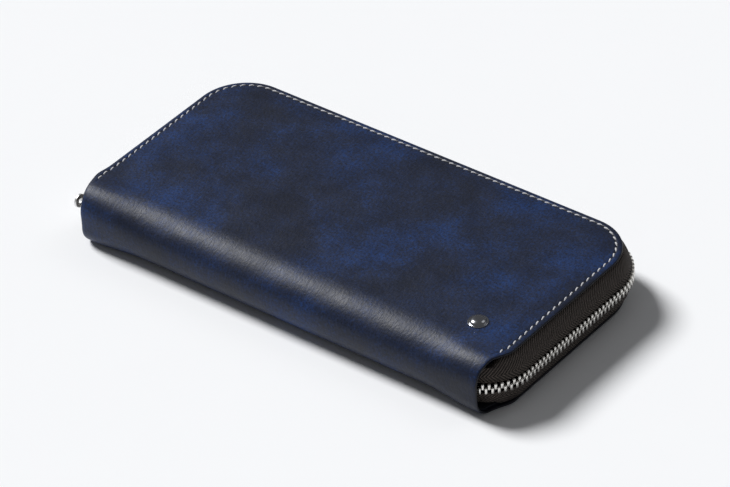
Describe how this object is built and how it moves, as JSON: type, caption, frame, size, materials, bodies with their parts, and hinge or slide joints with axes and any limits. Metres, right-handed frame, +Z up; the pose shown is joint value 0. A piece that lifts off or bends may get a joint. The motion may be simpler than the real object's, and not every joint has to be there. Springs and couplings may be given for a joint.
{
  "type": "zip around wallet",
  "caption": "Long zip-around wallet with stiffened leather covers, card slots, note pockets and a zipped coin pocket; opens flat on two coupled folds beside the spine.",
  "frame": {"origin": "centre of the outer face of the lower cover, which the closed wallet lies on, midway along the spine and midway between the spine's outer face and the covers' back edge", "axes": "+X along the spine towards the badge end, +Y from the spine to the zipped back edge, +Z up through the closed wallet"},
  "size_m": [0.2085, 0.1021, 0.0258],
  "materials": {
    "cover_leather": "navy, fine grain, satin, mottled",
    "pocket_leather": "thin navy leather, satin",
    "lining": "dark plain weave",
    "stiffener": "plain board, hidden",
    "zip_tape": "dark brown herringbone twill",
    "zip_metal": "polished nickel",
    "slider_metal": "satin nickel",
    "stud_metal": "dark polished nickel",
    "thread": "light grey waxed thread"
  },
  "bodies": {
    "bottom_half": {"leather_bottom": "cover_leather", "board_bottom": "stiffener", "lining_bottom": "lining", "stitching_bottom": "thread", "zip_tape_lower": "zip_tape", "zip_teeth_lower": "zip_metal", "zip_stops_lower": "zip_metal", "bill_panel_lower": "pocket_leather", "card_strip_lower_1": "pocket_leather", "card_strip_lower_2": "pocket_leather", "card_strip_lower_3": "pocket_leather"},
    "spine": {"leather_spine": "cover_leather", "lining_spine": "lining", "coin_anchor": "pocket_leather", "coin_panel_lower": "pocket_leather", "coin_panel_upper": "pocket_leather", "coin_side_left": "pocket_leather", "coin_side_right": "pocket_leather", "coin_tape_lower": "zip_tape", "coin_tape_upper": "zip_tape", "coin_teeth_lower": "zip_metal", "coin_teeth_upper": "zip_metal", "coin_stops": "zip_metal"},
    "top_half": {"leather_top": "cover_leather", "board_top": "stiffener", "lining_top": "lining", "stitching_top": "thread", "zip_tape_upper": "zip_tape", "zip_teeth_upper": "zip_metal", "zip_stops_upper": "zip_metal", "bill_panel_upper": "pocket_leather", "card_strip_upper_1": "pocket_leather", "card_strip_upper_2": "pocket_leather", "card_strip_upper_3": "pocket_leather", "badge_stud": "stud_metal"},
    "main_slider": {"zip_slider": "slider_metal"},
    "main_puller": {"zip_puller": "slider_metal"},
    "pocket_slider": {"coin_slider": "slider_metal"},
    "pocket_puller": {"coin_puller": "slider_metal"}
  },
  "joints": [
    {"name": "fold_lower", "type": "hinge", "parent": "bottom_half", "child": "spine", "pos_m": [0, -0.04636, 0.00264], "axis": [1, 0, 0], "range_deg": [0, 90]},
    {"name": "fold_upper", "type": "hinge", "parent": "spine", "child": "top_half", "pos_m": [0, -0.04636, 0.02136], "axis": [1, 0, 0], "range_deg": [0, 90]},
    {"name": "zip_slide", "type": "slide", "parent": "bottom_half", "child": "main_slider", "axis": [0, 1, 0], "range_m": [0, 0.048], "deforming": ["zip_teeth_lower", "zip_teeth_upper"]},
    {"name": "puller_swing", "type": "hinge", "parent": "main_slider", "child": "main_puller", "pos_m": [-0.1045, -0.024, 0.012], "axis": [0, 0, -1], "range_deg": [0, 175]},
    {"name": "coin_zip_slide", "type": "slide", "parent": "spine", "child": "pocket_slider", "axis": [1, 0, 0], "range_m": [0, 0.152], "deforming": ["coin_teeth_lower", "coin_teeth_upper"]},
    {"name": "coin_puller_swing", "type": "hinge", "parent": "pocket_slider", "child": "pocket_puller", "pos_m": [-0.079, 0.03972, 0.012], "axis": [0, 0, -1], "range_deg": [0, 175]}
  ],
  "couplings": [
    {"joint": "fold_upper", "follows": "fold_lower", "ratio": 1}
  ]
}
